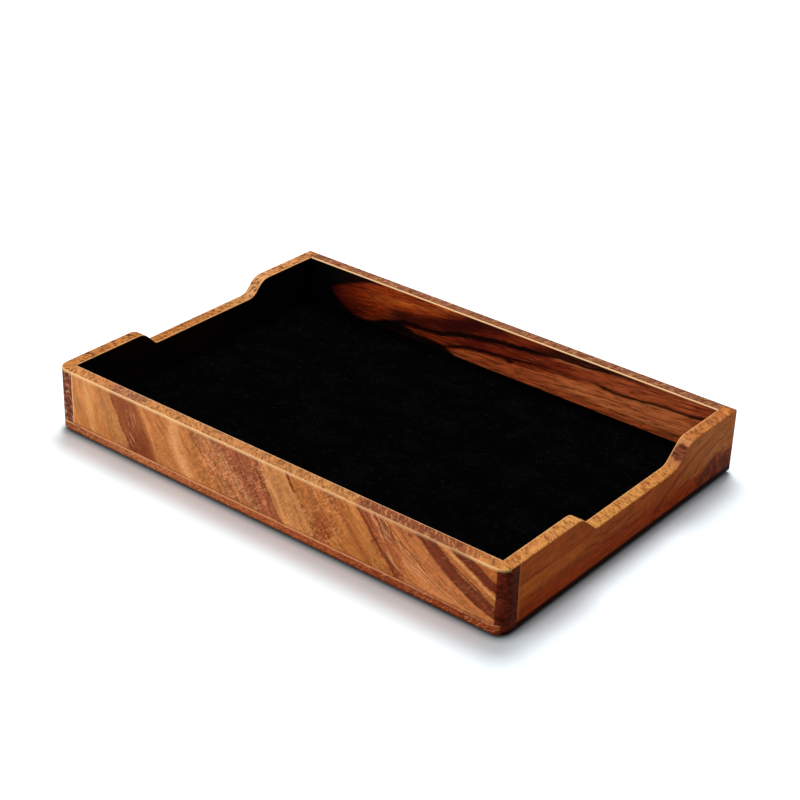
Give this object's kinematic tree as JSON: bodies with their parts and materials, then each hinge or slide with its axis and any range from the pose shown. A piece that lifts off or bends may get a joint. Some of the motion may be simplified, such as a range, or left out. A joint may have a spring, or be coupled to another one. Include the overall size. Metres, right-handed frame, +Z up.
{
  "type": "valet tray",
  "caption": "Low rectangular wooden tray with rounded front corners, a handle scoop cut into each end wall and a drop-in velvet-covered lining board",
  "frame": {"origin": "The middle of the tray's footprint, on the surface it stands on.", "axes": "+X along the tray towards its right end wall, +Y from the front wall to the back wall, +Z up."},
  "size_m": [0.294, 0.202, 0.0375],
  "materials": {
    "base_wood": "satin oiled, mottled reddish brown",
    "long_wall_wood": "satin oiled, light and dark bands",
    "end_wall_wood": "satin oiled, straight grain",
    "dowel_wood": "plain turned beech",
    "lining_board_card": "grey board",
    "black_velvet": "short black pile",
    "pad_felt": "dark pressed felt"
  },
  "bodies": {
    "root": {"base_board": "base_wood", "front_wall": "long_wall_wood", "back_wall": "long_wall_wood", "left_end_wall": "end_wall_wood", "right_end_wall": "end_wall_wood", "front_left_dowels": "dowel_wood", "front_right_dowels": "dowel_wood", "back_left_dowels": "dowel_wood", "back_right_dowels": "dowel_wood", "lining_board": "lining_board_card", "velvet_lining": "black_velvet", "foot_pad_front_left": "pad_felt", "foot_pad_front_right": "pad_felt", "foot_pad_back_left": "pad_felt", "foot_pad_back_right": "pad_felt"}
  },
  "joints": []
}
